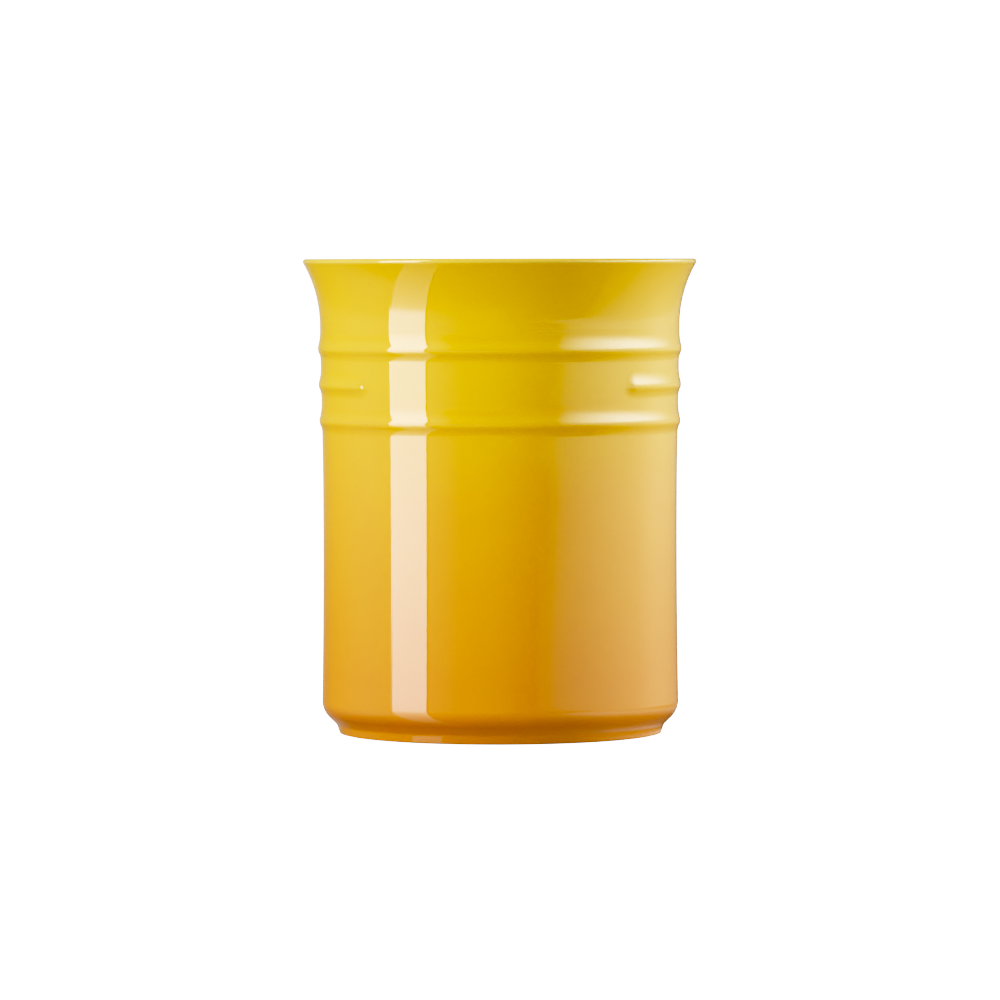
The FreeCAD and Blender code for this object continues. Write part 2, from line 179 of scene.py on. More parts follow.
def outside_outline(inset, toe_stop):
    """The outside from rim crest to foot, a little inside the finished surface if inset isn't 0."""
    lip_at = (RIM - LIP, HEIGHT - LIP)
    flare_at = (NECK + FLARE, NECK_LEVEL)
    lip_stop = heading(lip_at, flare_at)
    flare_stop = 180 + math.degrees(math.atan(COLLAR_SPREAD / (NECK_LEVEL - COLLAR_LEVEL)))
    flare_end = polar(flare_at, FLARE, flare_stop)
    heel_reach = math.sqrt((WAIST_CURVE + HEEL) ** 2 - (WAIST_LEVEL - HEEL_LEVEL) ** 2)
    heel_at = (WAIST + WAIST_CURVE - heel_reach, HEEL_LEVEL)
    heel_start = math.degrees(math.asin((WAIST_LEVEL - HEEL_LEVEL) / (WAIST_CURVE + HEEL)))
    heel_top = polar(heel_at, HEEL, heel_start)
    cove_at = (FOOT + COVE, TOE_LEVEL + FOOT_WALL)
    step_turn = math.acos((HEEL + COVE) / math.dist(heel_at, cove_at))
    step_side = heading(heel_at, cove_at) + math.degrees(step_turn)
    face_top = polar(cove_at, COVE, 180 - FOOT_TAPER)
    lean = math.radians(FOOT_TAPER)
    toe_in = (TOE + (face_top[1] - TOE_LEVEL) * math.sin(lean)) / math.cos(lean)
    toe_at = (face_top[0] - toe_in, TOE_LEVEL)

    points = arc(lip_at, LIP - inset, 90, lip_stop)
    points += arc(flare_at, FLARE + inset, 180 + lip_stop, flare_stop)[1:]
    points += [(radius - inset, level) for radius, level in wall_points(flare_end[1] - FINE, heel_top[1])]
    points += arc(heel_at, HEEL - inset, heel_start, step_side)
    points += arc(cove_at, COVE + inset, 180 + step_side, 180 - FOOT_TAPER)
    points += arc(toe_at, TOE - inset, -FOOT_TAPER, -toe_stop)
    return points


def inside_outline(inset):
    """The inside from the middle of the floor to the rim crest."""
    corner_at = (BORE - FLOOR_CORNER, FLOOR + FLOOR_CORNER)
    roll_at = (RIM - LIP_WIDTH + LIP_ROLL, HEIGHT - LIP_ROLL)
    reach = BORE + INNER_FLARE - roll_at[0]
    flare_at = (BORE + INNER_FLARE, roll_at[1] - math.sqrt((INNER_FLARE - LIP_ROLL) ** 2 - reach ** 2))
    roll_start = heading(flare_at, roll_at)
    corner = arc(corner_at, FLOOR_CORNER + inset, -90, 0)
    flare = arc(flare_at, INNER_FLARE - inset, 180, roll_start, COARSE / 2)
    points = line((0.0, FLOOR - inset), corner[0])[:-1] + corner
    points += line(corner[-1], flare[0])[1:-1] + flare
    points += arc(roll_at, LIP_ROLL - inset, roll_start, 90)[1:]
    points.append((RIM - LIP, HEIGHT - inset))
    return points


def underside_outline(inset, toe_stop):
    """The hollow inside the foot ring, from the ring's inner edge to the axis."""
    toe_at = (RECESS + TOE, TOE_LEVEL)
    corner_at = (RECESS - RECESS_CORNER, RECESS_DEPTH - RECESS_CORNER)
    corner = arc(corner_at, RECESS_CORNER + inset, 0, 90)
    points = arc(toe_at, TOE - inset, 180 + toe_stop, 180) + corner
    return points + line(corner[-1], (0.0, RECESS_DEPTH + inset))[1:]


def glaze_stop(inset):
    """How far round a toe the glaze reaches, in degrees below level."""
    return math.degrees(math.asin((TOE_LEVEL - GLAZE_LINE) / (TOE - inset)))


def rib_rise(offset, past_end=0.0):
    """Height of a rib at an offset above its crest line and a distance past its end.

    Each flank is a round crest that runs into a hollow root.
    """
    crest, root = RIB_ABOVE if offset > 0 else RIB_BELOW
    reach = math.sqrt((crest + root) ** 2 - (crest + root - RIB_HEIGHT) ** 2)
    distance = math.hypot(offset, past_end * reach / RIB_END)
    if distance >= reach:
        return 0.0
    if distance > reach * crest / (crest + root):
        return root - math.sqrt(root ** 2 - (reach - distance) ** 2)
    return RIB_HEIGHT - crest + math.sqrt(crest ** 2 - distance ** 2)


def past_rib_end(radius, azimuth):
    """How far a place lies past the nearer end of the middle rib, into its gap."""
    from_gap = abs((azimuth - GAP_TURN + 180) % 360 - 180)
    return max(0.0, math.radians(RIB_GAP / 2 - from_gap)) * radius


def relief(radius, level, azimuth):
    """How far the ribs stand out at a place on the outside. Azimuth is in degrees from the front."""
    if radius < MID_WALL:
        return 0.0
    rise = sum(rib_rise(level - crest) for crest in RIB_LEVELS if crest != MIDDLE_RIB)
    return rise + rib_rise(level - MIDDLE_RIB, past_rib_end(radius, azimuth))


def pooling_and_painted_light(radius, level, azimuth):
    """How deeply the glaze lies, darkened also as painted shade (up to 1), or how thinly, paler also as a
    painted highlight (down to -1).

    It runs off the rim's edge and the ribs, and gathers under each rib and over the foot. The darkness over
    the foot and under each rib is partly painted shade, and the paleness on the rim's edge and on each rib's
    upper flank is partly a painted highlight.
    """
    # Painted shade over the foot, together with the glaze that gathers there.
    cove = ease((POOL_SHADE_TOP - level) / POOL_SHADE_FADE) * (1 - ease((POOL_SHADE_FLOOR - level) / POOL_SHADE_FADE))
    # A painted highlight on the rim's edge, together with the glaze that runs thin off it.
    depth = cove - ease((level - HEIGHT + 2 * LIP) / LIP)
    for crest in RIB_LEVELS:
        present = 1.0
        if crest == MIDDLE_RIB:
            present = 1 - ease(past_rib_end(radius, azimuth) / RIB_END)
        # Painted shade under each rib, together with the glaze that gathers there.
        depth += present * RIB_POOL_SHADE * ease(1 - abs(level - crest + RIB_POOL_SHADE_DROP) / RIB_POOL_SHADE_SPREAD)
        # A painted highlight on each rib's upper flank, together with the glaze that thins there.
        depth -= present * RIB_THIN_HIGHLIGHT * ease(1 - abs(level - crest - RIB_HIGHLIGHT_RISE) / RIB_HIGHLIGHT_SPREAD)
    return depth


def turned(name, outline, segments):
    """A closed solid: a closed outline of radius and height, turned about the axis, with the ribs raised."""
    vertices, depths, rings = [], [], []
    for radius, level in outline:
        if radius < ON_AXIS:
            rings.append([len(vertices)] * segments)
            vertices.append((0.0, 0.0, level * MM))
            depths.append(0.0)
            continue
        rings.append(list(range(len(vertices), len(vertices) + segments)))
        for step in range(segments):
            azimuth = 360 * step / segments
            reach = (radius + relief(radius, level, azimuth)) * MM
            turn = math.radians(azimuth)
            vertices.append((reach * math.sin(turn), -reach * math.cos(turn), level * MM))
            # The glaze's pooling and thinning at each point, which also carries painted shade and a painted
            # highlight.
            depths.append(pooling_and_painted_light(radius, level, azimuth))
    faces = []
    for ring, after in zip(rings, rings[1:] + rings[:1]):
        for step in range(segments):
            ahead = (step + 1) % segments
            corners = (ring[step], after[step], after[ahead], ring[ahead])
            face = tuple(dict.fromkeys(corners))
            if len(face) > 2:
                faces.append(face)
    mesh = bpy.data.meshes.new(name)
    mesh.from_pydata(vertices, [], faces)
    mesh.attributes.new("pooling_and_painted_light", "FLOAT", "POINT").data.foreach_set("value", depths)
    mesh.shade_smooth()
    mesh.set_sharp_from_angle(angle=math.radians(SHARP))
    piece = bpy.data.objects.new(name, mesh)
    bpy.context.scene.collection.objects.link(piece)
    return piece


def add_piece(name, outline, segments, node, material):
    piece = turned(name, outline, segments)
    piece.data.materials.append(material)
    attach(piece, "root")
    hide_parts(node)


# Materials. A noise is given by the size of its features in millimetres and its detail.
WHITE = (1, 1, 1, 1)
BLACK = (0, 0, 0, 1)
ORANGE = (0.77, 0.26, 0.0, 1)
AMBER = (0.85, 0.364, 0.0, 1)
LEMON = (0.88, 0.470, 0.0, 1)
ORANGE_TO = 0.13         # share of the height up to which the glaze is orange
AMBER_AT = 0.5
LEMON_FROM = 0.74
# Pooled and thinned glaze colours, which also stand for painted shade over the foot and under the ribs, and
# for a painted highlight on the rim's edge and the ribs' upper flanks.
POOLED_SHADE = (0.62, 0.185, 0.0, 1)
THINNED_HIGHLIGHT = (0.88, 0.56, 0.08, 1)
LINER_DEEP = (0.79, 0.45, 0.0, 1)
LINER_PALE = (0.84, 0.54, 0.01, 1)
CLAY_PALE = (0.76, 0.66, 0.50, 1)
CLAY_DARK = (0.66, 0.55, 0.40, 1)
CLAY_SPECK = (0.34, 0.24, 0.15, 1)
NOISE_SPAN = (0.3, 0.7)  # values between which most of a noise lies
CLOUDS = (22, 3)
CLOUD_DRIFT = 4.0        # how far patches of colour stray up or down
LINER_CLOUDS = (18, 3)
SPECKLE = (0.7, 2)
GRAIN = 0.022            # strength of the fine speckle
WAVES = (7, 1)
RIPPLE = 0.006           # height of the faint waves in the gloss
GLAZE_IOR = 1.5
GLAZE_ROUGHNESS = 0.035
LINER_ROUGHNESS = 0.05
CLAY_GRAIN = (0.5, 4)
CLAY_GRAIN_SPAN = (0.35, 0.65)
CLAY_FLECKS = (0.9, 1)
CLAY_FLECK_SPAN = (0.68, 0.74)
CLAY_PITS = 0.05         # depth of the bare clay's grain
CLAY_ROUGHNESS = (0.95, 0.75)


def shader(name):
    """A new material: its nodes, its links and its surface shader."""
    material = bpy.data.materials.new(name)
    material.use_nodes = True
    nodes, links = material.node_tree.nodes, material.node_tree.links
    return material, nodes, links, nodes["Principled BSDF"]


def mixed(nodes, links, first, second, factor):
    """A colour between two others. Each of the three is a socket or a plain value."""
    mix = nodes.new("ShaderNodeMix")
    mix.data_type = "RGBA"
    for name, value in (("A_Color", first), ("B_Color", second), ("Factor_Float", factor)):
        socket = next(socket for socket in mix.inputs if socket.identifier == name)
        if isinstance(value, bpy.types.NodeSocket):
            links.new(value, socket)
        else:
            socket.default_value = value
    return next(socket for socket in mix.outputs if socket.identifier == "Result_Color")


def spread(nodes, links, value, low, high, to_low, to_high):
    """A value carried from one range on to another, and held at its ends."""
    scale = nodes.new("ShaderNodeMapRange")
    links.new(value, scale.inputs["Value"])
    for name, number in (("From Min", low), ("From Max", high), ("To Min", to_low), ("To Max", to_high)):
        scale.inputs[name].default_value = number
    return scale.outputs["Result"]


def noise(nodes, links, place, size, detail):
    """Cloudy variation with features of about the given size in millimetres."""
    texture = nodes.new("ShaderNodeTexNoise")
    texture.inputs["Scale"].default_value = 1 / (size * MM)
    texture.inputs["Detail"].default_value = detail
    links.new(place, texture.inputs["Vector"])
    return texture.outputs["Fac"]


def add_bump(nodes, links, surface, height, depth):
    """Fine unevenness of the given depth on a surface."""
    bump = nodes.new("ShaderNodeBump")
    bump.inputs["Distance"].default_value = depth * MM
    links.new(height, bump.inputs["Height"])
    links.new(bump.outputs["Normal"], surface.inputs["Normal"])


def add_gloss(nodes, links, surface, place, colour, roughness):
    """A finely speckled gloss glaze of one colour, with faint waves in it."""
    grain = noise(nodes, links, place, *SPECKLE)
    speckle = spread(nodes, links, grain, *NOISE_SPAN, 0, 2 * GRAIN)
    links.new(mixed(nodes, links, colour, BLACK, speckle), surface.inputs["Base Color"])
    surface.inputs["Roughness"].default_value = roughness
    surface.inputs["IOR"].default_value = GLAZE_IOR
    add_bump(nodes, links, surface, noise(nodes, links, place, *WAVES), RIPPLE)


def graded_colour(nodes, links, place):
    """Orange below and lemon yellow above, with patches that stray a little up or down."""
    split = nodes.new("ShaderNodeSeparateXYZ")
    links.new(place, split.inputs["Vector"])
    cloud = noise(nodes, links, place, *CLOUDS)
    stray = spread(nodes, links, cloud, *NOISE_SPAN, -CLOUD_DRIFT * MM, CLOUD_DRIFT * MM)
    drift = nodes.new("ShaderNodeMath")
    drift.operation = "ADD"
    links.new(split.outputs["Z"], drift.inputs[0])
    links.new(stray, drift.inputs[1])
    ramp = nodes.new("ShaderNodeValToRGB")
    links.new(spread(nodes, links, drift.outputs["Value"], 0, HEIGHT * MM, 0, 1), ramp.inputs["Fac"])
    low_stop, high_stop = ramp.color_ramp.elements
    low_stop.position, low_stop.color = ORANGE_TO, ORANGE
    high_stop.position, high_stop.color = LEMON_FROM, LEMON
    ramp.color_ramp.elements.new(AMBER_AT).color = AMBER
    return ramp.outputs["Color"]


def glaze_material():
    """Gloss glaze, lemon yellow above and orange below, darker where it pools and paler where it thins, with
    painted shade over the foot and under the ribs and a painted highlight on the rim's edge and the ribs'
    upper flanks.
    """
    material, nodes, links, surface = shader("graded_glaze")
    place = nodes.new("ShaderNodeTexCoord").outputs["Object"]
    depth = nodes.new("ShaderNodeAttribute")
    depth.attribute_name = "pooling_and_painted_light"
    # Painted shade where the glaze pools, and a painted highlight where it thins.
    thick_and_shaded = spread(nodes, links, depth.outputs["Fac"], 0, 1, 0, 1)
    thin_and_highlit = spread(nodes, links, depth.outputs["Fac"], 0, -1, 0, 1)
    colour = mixed(nodes, links, graded_colour(nodes, links, place), POOLED_SHADE, thick_and_shaded)
    colour = mixed(nodes, links, colour, THINNED_HIGHLIGHT, thin_and_highlit)
    add_gloss(nodes, links, surface, place, colour, GLAZE_ROUGHNESS)
    return material


def liner_material():
    """Plain yellow gloss glaze, faintly clouded."""
    material, nodes, links, surface = shader("liner_glaze")
    place = nodes.new("ShaderNodeTexCoord").outputs["Object"]
    cloud = spread(nodes, links, noise(nodes, links, place, *LINER_CLOUDS), *NOISE_SPAN, 0, 1)
    colour = mixed(nodes, links, LINER_DEEP, LINER_PALE, cloud)
    add_gloss(nodes, links, surface, place, colour, LINER_ROUGHNESS)
    return material


def clay_material():
    """Bare fired stoneware: matt, fine grained, with sparse darker specks."""
    material, nodes, links, surface = shader("stoneware")
    place = nodes.new("ShaderNodeTexCoord").outputs["Object"]
    grain = noise(nodes, links, place, *CLAY_GRAIN)
    colour = mixed(nodes, links, CLAY_DARK, CLAY_PALE, spread(nodes, links, grain, *CLAY_GRAIN_SPAN, 0, 1))
    speck = spread(nodes, links, noise(nodes, links, place, *CLAY_FLECKS), *CLAY_FLECK_SPAN, 0, 1)
    links.new(mixed(nodes, links, colour, CLAY_SPECK, speck), surface.inputs["Base Color"])
    links.new(spread(nodes, links, grain, *NOISE_SPAN, *CLAY_ROUGHNESS), surface.inputs["Roughness"])
    add_bump(nodes, links, surface, grain, CLAY_PITS)
    return material


def add_outside_glaze():
    coat = outside_outline(0, glaze_stop(0)) + outside_outline(GLAZE, glaze_stop(GLAZE))[::-1]
    add_piece("outside_glaze_coat", coat, SEGMENTS, "outside_glaze", glaze_material())


def add_inside_glaze(liner):
    coat = inside_outline(GLAZE) + inside_outline(0)[::-1]
    add_piece("inside_glaze_coat", coat, SEGMENTS, "inside_glaze", liner)


def add_underside_glaze(liner):
    coat = underside_outline(0, glaze_stop(0)) + underside_outline(GLAZE, glaze_stop(GLAZE))[::-1]
    add_piece("underside_glaze_coat", coat, SEGMENTS, "underside_glaze", liner)


def add_clay_body():
    under = GLAZE + SEAT
    body = outside_outline(under, 90) + underside_outline(under, 90) + inside_outline(under)
    add_piece("clay_body", body, CLAY_SEGMENTS, "stoneware_body", clay_material())


def add_crock():
    add_outside_glaze()
    liner = liner_material()
    add_inside_glaze(liner)
    add_underside_glaze(liner)
    add_clay_body()


# Camera, in metres, with its lens in millimetres and its roll in degrees.
CAMERA_DISTANCE = 1.965
CAMERA_LEVEL = 0.152
AIM_LEVEL = 0.07373
CAMERA_LENS = 223.8
CAMERA_ROLL = -0.1


def add_camera():
    data = bpy.data.cameras.new("camera")
    data.lens = CAMERA_LENS
    camera = bpy.data.objects.new("camera", data)
    camera.location = (0, -CAMERA_DISTANCE, CAMERA_LEVEL)
    aim = Vector((0, 0, AIM_LEVEL)) - camera.location
    camera.rotation_mode = "QUATERNION"
    roll = Quaternion((0, 0, 1), math.radians(CAMERA_ROLL))
    camera.rotation_quaternion = aim.to_track_quat("-Z", "Y") @ roll
    bpy.context.scene.collection.objects.link(camera)
    bpy.context.scene.camera = camera


# Light panels. Azimuths are in degrees from the camera with right positive, and heights and distances in
# metres. A pair is where a change starts and where it is complete, unless its comment says otherwise.
PANEL_COLUMNS = 72
PANEL_ROWS = 110


def glow_material(name, tint):
    """Light as strong as the panel's own "glow" values, and see-through where its "cover" is low."""
    material = bpy.data.materials.new(name)
    material.use_nodes = True
    nodes, links = material.node_tree.nodes, material.node_tree.links
    nodes.clear()
    output = nodes.new("ShaderNodeOutputMaterial")
    light = nodes.new("ShaderNodeEmission")
    light.inputs["Color"].default_value = tint
    part = nodes.new("ShaderNodeMixShader")
    links.new(nodes.new("ShaderNodeBsdfTransparent").outputs["BSDF"], part.inputs[1])
    links.new(light.outputs["Emission"], part.inputs[2])
    for attribute, socket in (("glow", light.inputs["Strength"]), ("cover", part.inputs["Fac"])):
        values = nodes.new("ShaderNodeAttribute")
        values.attribute_name = attribute
        links.new(values.outputs["Fac"], socket)
    links.new(part.outputs["Shader"], output.inputs["Surface"])
    return material


def add_panel(name, span, low_edge, high_edge, glow, cover=lambda height: 1.0, tint=WHITE):
    """A light panel bent round the crock, which only shows as a reflection in its gloss.

    It stands between the two azimuths of its span and runs from one edge to another, each given as distance
    and height. Its light at each place is glow(azimuth, distance, height), and it hides what is behind it by
    cover(height).
    """
    start, end = span
    vertices, glows, covers, faces = [], [], [], []
    for row in range(PANEL_ROWS + 1):
        distance, height = (a + (b - a) * row / PANEL_ROWS for a, b in zip(low_edge, high_edge))
        for column in range(PANEL_COLUMNS + 1):
            azimuth = start + (end - start) * column / PANEL_COLUMNS
            turn = math.radians(azimuth)
            vertices.append((distance * math.sin(turn), -distance * math.cos(turn), height))
            glows.append(glow(azimuth, distance, height))
            covers.append(cover(height))
    for row in range(PANEL_ROWS):
        for column in range(PANEL_COLUMNS):
            corner = row * (PANEL_COLUMNS + 1) + column
            above = corner + PANEL_COLUMNS + 1
            faces.append((corner, corner + 1, above + 1, above))
    mesh = bpy.data.meshes.new(name)
    mesh.from_pydata(vertices, [], faces)
    for attribute, values in (("glow", glows), ("cover", covers)):
        mesh.attributes.new(attribute, "FLOAT", "POINT").data.foreach_set("value", values)
    mesh.materials.append(glow_material(name, tint))
    panel = bpy.data.objects.new(name, mesh)
    panel.visible_camera = False
    panel.visible_diffuse = False
    panel.visible_shadow = False
    bpy.context.scene.collection.objects.link(panel)


STRIP = (-71.7, -46.2)       # azimuths of the key strip's edges
STRIP_DISTANCE = 0.57
STRIP_TOP = 0.8
STRIP_END = (-0.024, 0.04)   # heights between which the strip's lower end fades out
STRIP_TINT = (1, 0.86, 1, 1)  # faintly pink
STRIP_GLOW = 13.5
STRIP_LOW = 0.75             # share of its light low down
STRIP_RISE = (-0.05, 0.05)
STRIP_BOOST = 0.3            # extra share high up, which the ribs mirror
STRIP_BOOST_RISE = (0.1, 0.22)


def strip_glow(azimuth, distance, height):
    level = STRIP_LOW + (1 - STRIP_LOW) * fade(height, *STRIP_RISE)
    return STRIP_GLOW * (level + STRIP_BOOST * fade(height, *STRIP_BOOST_RISE))


def strip_cover(height):
    return fade(height, *STRIP_END)


TAIL_TURN = 1.037            # azimuth of the strip's image in the table against the strip's own
TAIL_DISTANCE = 2.5
TAIL_REACH = (-8, 0.02)      # heights of its lower and upper edge
TAIL_GLOW = 6.2
TAIL_FALL = 1.75             # depth over which that dies away
TAIL_SHEEN = 6.8             # added where the table is seen at a low angle
TAIL_SHEEN_FALL = 0.3


def tail_glow(azimuth, distance, height):
    """The strip mirrored in the table, strongest where the table is seen at a low angle."""
    return TAIL_GLOW * math.exp(height / TAIL_FALL) + TAIL_SHEEN * math.exp(height / TAIL_SHEEN_FALL)


NEAR_DISTANCE = 0.9          # of the soft panels at the left and beside the camera
NEAR_REACH = (-0.9, 0.9)     # heights of their lower and upper edges
LEFT_GLOW = 1.7
LEFT_LOW = 0.72              # share of its light low down
LEFT_RISE = (-0.02, 0.07)
LEFT_DROP = 0.5              # share lost far down, towards the table
LEFT_FALL = (-0.25, -0.65)
LEFT_HIGH = 0.22             # share lost high up
LEFT_HIGH_RISE = (0.1, 0.3)
LEFT_BACK = 0.18             # share behind the crock
LEFT_SIDE = 0.9              # added towards the side
LEFT_SIDE_RISE = (-160, -82)
LEFT_SIDE_BEND = 1.8
LEFT_EDGE = 0.14             # added straight behind, which lines the silhouette
LEFT_EDGE_RISE = (-150, -170)


def low_fade(height):
    """How the soft left side dims downwards."""
    return LEFT_LOW + (1 - LEFT_LOW) * fade(height, *LEFT_RISE) - LEFT_DROP * fade(height, *LEFT_FALL)


def left_glow(azimuth, distance, height):
    back = LEFT_BACK + LEFT_SIDE * fade(azimuth, *LEFT_SIDE_RISE) ** LEFT_SIDE_BEND
    back += LEFT_EDGE * fade(azimuth, *LEFT_EDGE_RISE)
    return LEFT_GLOW * back * low_fade(height) * (1 - LEFT_HIGH * fade(height, *LEFT_HIGH_RISE))


FRONT_GLOW = 0.88
FRONT_END = (24, -10)        # azimuths between which it comes up from the right
FRONT_LOW = (-0.3, 0)        # heights between which it comes up from below
FRONT_TOP = (0.12, 0.27)     # heights between which it ends
FRONT_TOP_SPAN = (-42, -26)  # azimuths between which that end sets in
HALO_GLOW = 0.85
HALO_LOW = 0.65              # share of its light low down
HALO_RISE = (-0.03, 0.07)
HALO_SPAN = (-20, -50)


def front_glow(azimuth, height):
    """A faint light beside the camera, which ends softly at the right."""
    above = fade(height, *FRONT_TOP) * fade(azimuth, *FRONT_TOP_SPAN)
    return FRONT_GLOW * fade(azimuth, *FRONT_END) * fade(height, *FRONT_LOW) * (1 - above)


def halo_glow(azimuth, distance, height):
    """The faint light beside the camera, and a soft edge along the key strip."""
    side = HALO_GLOW * low_fade(height) * (HALO_LOW + (1 - HALO_LOW) * fade(height, *HALO_RISE))
    return front_glow(azimuth, height) + side * fade(azimuth, *HALO_SPAN)


RIGHT_DISTANCE = 2.0
RIGHT_REACH = (-2.0, 1.3)    # heights of its lower and upper edge
RIGHT_GLOW = 3.3
RIGHT_START = 20             # azimuth where the light starts, as the lower wall mirrors it
RIGHT_SHIFT = 17             # how much further back it starts higher up
RIGHT_SHIFT_RISE = (-0.079, 0.021)
RIGHT_STEP = 32              # and lower down, as the flare mirrors it
RIGHT_STEP_FALL = (-0.085, -0.175)
RIGHT_SLANT = 22             # degrees further back for each metre lower still
RIGHT_FULL = 80              # azimuth where the light is full, if its start is well before that
RIGHT_WIDTH = 32             # least width over which it comes up
RIGHT_LEVEL = 0.018          # height below which it dims
RIGHT_DIM = 0.26             # depth over which it dies away
RIGHT_DIM_FAST = 0.1         # depth after which it dims more slowly
RIGHT_DIM_SLOW = 0.3         # and how much more slowly
RIGHT_EDGE = (180, 155)      # azimuths between which it comes up from behind
RIGHT_BACK = 103             # azimuth from which it dims backwards
RIGHT_BACK_WIDTH = 33
RIGHT_BACK_BEND = 2.7
BOX_GLOW = 10.7
BOX_START = 38               # azimuth where the box comes up
BOX_WIDTH = 60               # and over how many degrees
BOX_END = (148, 85)
BOX_RISE = (0.16, 0.65)
NEAR_LEVEL = 0.045           # a height on the near panels in line with height 0 on this one
NEAR_SCALE = 0.45            # and the ratio of their heights


def right_glow(azimuth, distance, height):
    """A soft wall of light under a brighter box, and the right end of the light beside the camera.

    The wall dims downwards and backwards. Its light starts furthest forward at the height that the crock's
    lower wall mirrors, and further back above that and below it, where the flare mirrors a slanting edge.
    """
    below = max(0.0, RIGHT_STEP_FALL[0] - height)
    start = RIGHT_START + RIGHT_SHIFT * fade(height, *RIGHT_SHIFT_RISE)
    start += RIGHT_STEP * fade(height, *RIGHT_STEP_FALL) + RIGHT_SLANT * below
    end = max(RIGHT_FULL, start + RIGHT_WIDTH)
    rise = math.sqrt(clamped((azimuth - start) / (end - start)))
    drop = max(0.0, RIGHT_LEVEL - height)
    drop = min(drop, RIGHT_DIM_FAST) + RIGHT_DIM_SLOW * max(0.0, drop - RIGHT_DIM_FAST)
    behind = max(0.0, azimuth - RIGHT_BACK) / RIGHT_BACK_WIDTH
    back = fade(azimuth, *RIGHT_EDGE) / (1 + behind ** RIGHT_BACK_BEND)
    wall = RIGHT_GLOW * rise * math.exp(-drop / RIGHT_DIM) * back
    box = math.sin(math.pi / 2 * clamped((azimuth - BOX_START) / BOX_WIDTH))
    box *= BOX_GLOW * fade(azimuth, *BOX_END) * fade(height, *BOX_RISE)
    return wall + box + front_glow(azimuth, NEAR_LEVEL + NEAR_SCALE * height)


TABLE_RANGE = (0.0512, 0.13)  # distances of its near and far edge
TABLE_LEVEL = 0.0005
TABLE_START = (10, 50)
TABLE_END = (125, 50)
TABLE_BACK = 0.15            # share of its light at the back
TABLE_BACK_RISE = (90, 120)
TABLE_DIM = 0.28             # its light under the cove
TABLE_TOE = 0.85             # added against the toe
TABLE_TOE_RISE = (0.0534, 0.0516)
TABLE_OUT = 2.1              # added further out
TABLE_OUT_RISE = (0.058, 0.08)


def table_glow(azimuth, distance, height):
    """The pale table at the right: light against the toe, dim under the cove and brightest further out."""
    side = fade(azimuth, *TABLE_START) * fade(azimuth, *TABLE_END)
    side += TABLE_BACK * fade(azimuth, *TABLE_BACK_RISE)
    near = TABLE_DIM + TABLE_TOE * fade(distance, *TABLE_TOE_RISE)
    return side * (near + TABLE_OUT * fade(distance, *TABLE_OUT_RISE))


def upright(distance, low, high):
    """The lower and upper edge of an upright panel."""
    return (distance, low), (distance, high)


def add_panels():
    strip_edges = upright(STRIP_DISTANCE, STRIP_END[0], STRIP_TOP)
    add_panel("key_strip", STRIP, *strip_edges, strip_glow, strip_cover, STRIP_TINT)
    tail_span = tuple(edge * TAIL_TURN for edge in STRIP)
    add_panel("key_tail", tail_span, *upright(TAIL_DISTANCE, *TAIL_REACH), tail_glow, tint=STRIP_TINT)
    near_edges = upright(NEAR_DISTANCE, *NEAR_REACH)
    add_panel("key_halo", (STRIP[1], 0), *near_edges, halo_glow)
    add_panel("left_wall", (-180, STRIP[0]), *near_edges, left_glow)
    add_panel("right_wall", (0, 180), *upright(RIGHT_DISTANCE, *RIGHT_REACH), right_glow)
    near, far = TABLE_RANGE
    add_panel("table_top", (0, 180), (near, TABLE_LEVEL), (far, TABLE_LEVEL), table_glow)


# Lamps, with directions in degrees, distances and sizes in metres and power in watts.
MIDDLE = HEIGHT * MM / 2     # level that they are aimed at


def add_lamp(name, azimuth, elevation, distance, size, power):
    """A large soft lamp that lights the crock without showing in it, aimed at the crock's middle."""
    data = bpy.data.lights.new(name, "AREA")
    data.shape = "DISK"
    data.size = size
    data.energy = power
    lamp = bpy.data.objects.new(name, data)
    turn, tilt = math.radians(azimuth), math.radians(elevation)
    aim = Vector((math.sin(turn) * math.cos(tilt), -math.cos(turn) * math.cos(tilt), math.sin(tilt)))
    lamp.location = aim * distance + Vector((0, 0, MIDDLE))
    lamp.rotation_mode = "QUATERNION"
    lamp.rotation_quaternion = aim.to_track_quat("Z", "Y")
    lamp.visible_camera = False
    lamp.visible_glossy = False
    bpy.context.scene.collection.objects.link(lamp)


def add_lamps():
    add_lamp("key", azimuth=-58, elevation=25, distance=1.6, size=0.9, power=19.2)
    add_lamp("edge", azimuth=-136, elevation=3, distance=1.6, size=0.4, power=13.0)
    add_lamp("fill", azimuth=107, elevation=5, distance=1.6, size=0.4, power=21.0)
    add_lamp("top", azimuth=0, elevation=75, distance=1.8, size=1.2, power=10)


# Floor, surroundings and film.
FLOOR_REACH = 8.0
FLOOR_PAINT = (0.9, 0.9, 0.9, 1)
FLOOR_GLOW = 2.2
BACKDROP_GLOW = 2.6
AMBIENT = 0.56
BOUNCE = 0.54


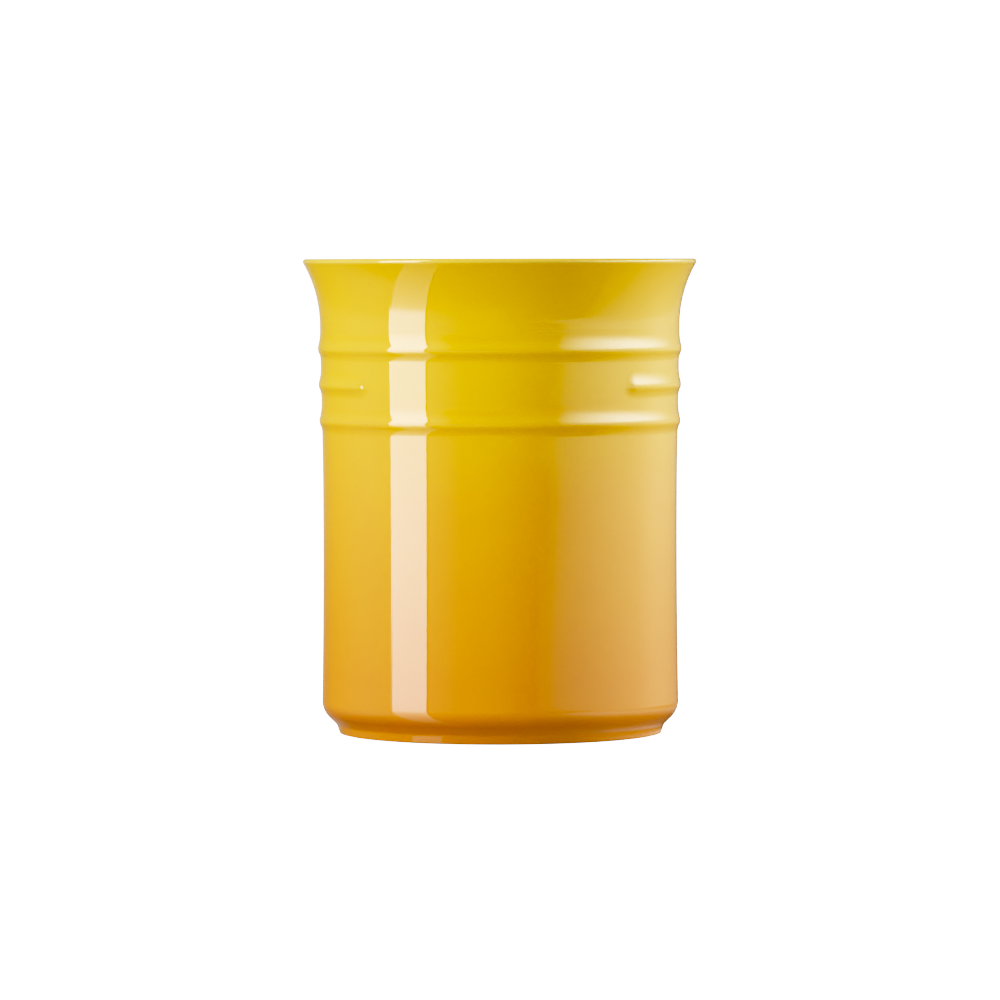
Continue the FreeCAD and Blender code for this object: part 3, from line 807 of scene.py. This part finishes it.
def add_floor():
    """A pale floor: plain white to the camera, and a soft bounce of light on the crock."""
    corners = [(x * FLOOR_REACH, y * FLOOR_REACH, 0) for x, y in ((-1, -1), (1, -1), (1, 1), (-1, 1))]
    mesh = bpy.data.meshes.new("floor")
    mesh.from_pydata(corners, [], [(0, 1, 2, 3)])
    material, nodes, links, white = shader("floor_paint")
    white.inputs["Base Color"].default_value = FLOOR_PAINT
    white.inputs["Roughness"].default_value = 1.0
    white.inputs["Specular IOR Level"].default_value = 0.0
    white.inputs["Emission Color"].default_value = WHITE
    white.inputs["Emission Strength"].default_value = FLOOR_GLOW
    bounce = nodes.new("ShaderNodeBsdfDiffuse")
    bounce.inputs["Color"].default_value = (BOUNCE, BOUNCE, BOUNCE, 1)
    path = nodes.new("ShaderNodeLightPath")
    seen = nodes.new("ShaderNodeMixShader")
    links.new(path.outputs["Is Camera Ray"], seen.inputs["Fac"])
    links.new(bounce.outputs["BSDF"], seen.inputs[1])
    links.new(white.outputs["BSDF"], seen.inputs[2])
    links.new(seen.outputs["Shader"], nodes["Material Output"].inputs["Surface"])
    mesh.materials.append(material)
    floor = bpy.data.objects.new("floor", mesh)
    floor.visible_glossy = False
    bpy.context.scene.collection.objects.link(floor)


def add_world():
    """White to the camera, a soft even light on the crock, and nothing to show in its glaze."""
    world = bpy.data.worlds.new("studio")
    world.use_nodes = True
    nodes, links = world.node_tree.nodes, world.node_tree.links
    path = nodes.new("ShaderNodeLightPath")
    level = nodes.new("ShaderNodeMapRange")
    level.inputs["To Min"].default_value = AMBIENT
    level.inputs["To Max"].default_value = BACKDROP_GLOW
    links.new(path.outputs["Is Camera Ray"], level.inputs["Value"])
    links.new(level.outputs["Result"], nodes["Background"].inputs["Strength"])
    nodes["Background"].inputs["Color"].default_value = WHITE
    world.cycles_visibility.glossy = False
    bpy.context.scene.world = world


FILM_KNEE = 0.35         # brightness from which the film response bends over
FILM_WHITE = 2.6
FILM_BLACK = (0.004, 0.004, 0.037)
FILM_STEPS = 24
FILM_CROWDING = 1.5      # draws the steps together towards black


def film_response(light):
    """Straight up to the knee, then bending over towards white."""
    bend = 1 - FILM_KNEE
    return light if light < FILM_KNEE else 1 - bend * math.exp((FILM_KNEE - light) / bend)


def set_film():
    """A film response that bends over softly towards white, each colour on its own."""
    view = bpy.context.scene.view_settings
    view.view_transform = "Standard"
    view.use_curve_mapping = True
    mapping = view.curve_mapping
    mapping.white_level = (FILM_WHITE,) * 3
    mapping.black_level = FILM_BLACK
    curve = mapping.curves[3]
    for step in range(FILM_STEPS + 1):
        light = FILM_WHITE * (step / FILM_STEPS) ** FILM_CROWDING
        shown = film_response(light) / film_response(FILM_WHITE)
        if step in (0, FILM_STEPS):
            curve.points[bool(step)].location = (light / FILM_WHITE, shown)
        else:
            curve.points.new(light / FILM_WHITE, shown)
    mapping.update()


add_crock()
add_camera()
add_floor()
add_world()
add_panels()
add_lamps()
set_film()
